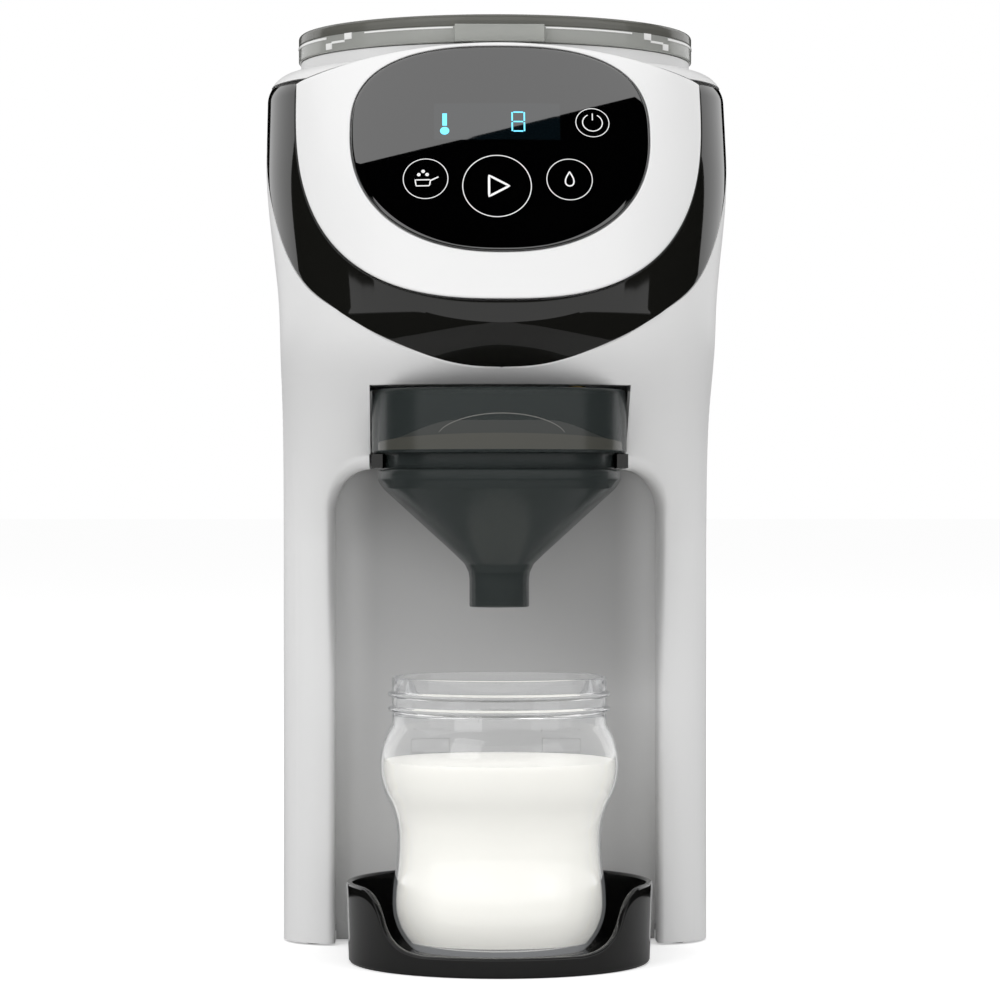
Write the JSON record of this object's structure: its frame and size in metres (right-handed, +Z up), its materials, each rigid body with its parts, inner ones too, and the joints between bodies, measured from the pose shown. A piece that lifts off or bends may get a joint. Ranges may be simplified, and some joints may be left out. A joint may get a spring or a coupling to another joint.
{
  "type": "baby formula maker",
  "caption": "Counter-top baby formula maker: clear powder container with dosing drive, water tank with heater and pump, touch panel, slide-out funnel, bottle and tray.",
  "frame": {"origin": "on the table, under the middle of the machine's overall width and depth", "axes": "+Z up, -Y out of the front (panel and bottle side), +X to the right of someone facing the front"},
  "size_m": [0.159, 0.3059, 0.317],
  "materials": {
    "body_white": "fine satin moulding",
    "bezel_white": "satin gloss",
    "gloss_black": "high gloss",
    "tray_black": "high gloss",
    "panel_black": "polished black touch panel",
    "display": "liquid crystal window",
    "circuit_board": "solder mask",
    "screw_steel": "zinc plated",
    "pin_steel": "ground",
    "cover_grey": "moulded",
    "foot_rubber": "matt",
    "clear_container": "clear plastic",
    "clear_lid": "clear plastic",
    "clear_bottle": "clear plastic",
    "clear_tank": "clear plastic with a light tint",
    "smoke_clear": "smoke tinted clear plastic",
    "milk_white": "liquid",
    "seal_silicone": "translucent silicone",
    "hose_silicone": "translucent silicone",
    "wheel_grey": "moulded",
    "wheel_cap": "moulded",
    "gear_plastic": "natural acetal",
    "bearing_brass": "turned",
    "motor_steel": "plated can",
    "heater_aluminium": "cast",
    "tank_lid_white": "satin"
  },
  "bodies": {
    "machine": {"body_shell": "body_white", "head_shell": "body_white", "alcove_liner": "body_white", "powder_well": "body_white", "accent_band": "gloss_black", "panel_bezel": "bezel_white", "control_panel": "panel_black", "control_board": "circuit_board", "display_module": "display", "panel_screws": "screw_steel", "base_cover": "cover_grey", "feet": "foot_rubber", "base_screws": "screw_steel", "drive_bearing": "bearing_brass", "drive_motor": "motor_steel", "gearbox_plate": "cover_grey", "drive_screws": "screw_steel", "powder_chute": "cover_grey", "funnel_bracket": "gloss_black", "tank_socket": "cover_grey", "socket_seal": "seal_silicone", "chassis": "cover_grey", "power_supply": "circuit_board", "main_board": "circuit_board", "pump_mount": "foot_rubber", "water_pump": "motor_steel", "heater": "heater_aluminium", "heater_clamps": "screw_steel", "flow_meter": "gear_plastic", "solenoid_valve": "motor_steel", "water_nozzle": "bearing_brass", "hose_tank": "hose_silicone", "hose_meter": "hose_silicone", "hose_heater": "hose_silicone", "hose_valve": "hose_silicone", "hose_nozzle": "hose_silicone", "cord_gland": "foot_rubber"},
    "container": {"powder_container": "clear_container", "container_collar": "body_white", "lid_pin": "pin_steel", "dosing_cover": "wheel_grey"},
    "powder_lid": {"powder_lid": "clear_lid", "lid_seal": "seal_silicone"},
    "stirrer": {"stirring_wheel": "wheel_grey", "locking_hub": "wheel_cap"},
    "drive": {"drive_gear": "gear_plastic", "drive_shaft": "pin_steel"},
    "pinion": {"motor_pinion": "bearing_brass"},
    "funnel": {"funnel": "smoke_clear", "funnel_cone": "smoke_clear", "funnel_insert": "smoke_clear"},
    "tray": {"bottle_tray": "tray_black"},
    "bottle": {"bottle": "clear_bottle", "milk": "milk_white"},
    "tank": {"water_tank": "clear_tank", "tank_lid_pin": "pin_steel", "valve_seat": "seal_silicone", "valve_cage": "gear_plastic"},
    "tank_lid": {"tank_lid": "tank_lid_white"},
    "tank_valve": {"valve_plunger": "gear_plastic"}
  },
  "joints": [
    {"name": "container_lift", "type": "slide", "parent": "machine", "child": "container", "axis": [0, 0, 1], "range_m": [0, 0.09]},
    {"name": "powder_lid_hinge", "type": "hinge", "parent": "container", "child": "powder_lid", "pos_m": [0, 0.0346, 0.3105], "axis": [-1, 0, 0], "range_deg": [0, 105]},
    {"name": "drive_spin", "type": "hinge", "parent": "machine", "child": "drive", "pos_m": [0, -0.036, 0.22], "axis": [0, 0, 1], "continuous": true},
    {"name": "stirrer_spin", "type": "hinge", "parent": "container", "child": "stirrer", "pos_m": [0, -0.036, 0.25], "axis": [0, 0, 1], "continuous": true},
    {"name": "pinion_spin", "type": "hinge", "parent": "machine", "child": "pinion", "pos_m": [0, -0.006, 0.22], "axis": [0, 0, 1], "continuous": true},
    {"name": "funnel_slide", "type": "slide", "parent": "machine", "child": "funnel", "axis": [0, -1, 0], "range_m": [0, 0.1]},
    {"name": "tray_slide", "type": "slide", "parent": "machine", "child": "tray", "axis": [0, -1, 0], "range_m": [0, 0.06]},
    {"name": "bottle_slide", "type": "slide", "parent": "tray", "child": "bottle", "axis": [0, -0.9848, 0.1736], "range_m": [0, 0.11]},
    {"name": "tank_lift", "type": "slide", "parent": "machine", "child": "tank", "axis": [0, 0, 1], "range_m": [0, 0.15]},
    {"name": "tank_lid_hinge", "type": "hinge", "parent": "tank", "child": "tank_lid", "pos_m": [0, 0.1485, 0.3038], "axis": [-1, 0, 0], "range_deg": [0, 95]},
    {"name": "tank_valve_slide", "type": "slide", "parent": "tank", "child": "tank_valve", "axis": [0, 0, 1], "range_m": [0, 0.003], "stiffness_N_per_m": 200, "springref_m": -0.002}
  ],
  "couplings": [
    {"joint": "stirrer_spin", "follows": "drive_spin", "ratio": 1},
    {"joint": "pinion_spin", "follows": "drive_spin", "ratio": -3}
  ]
}
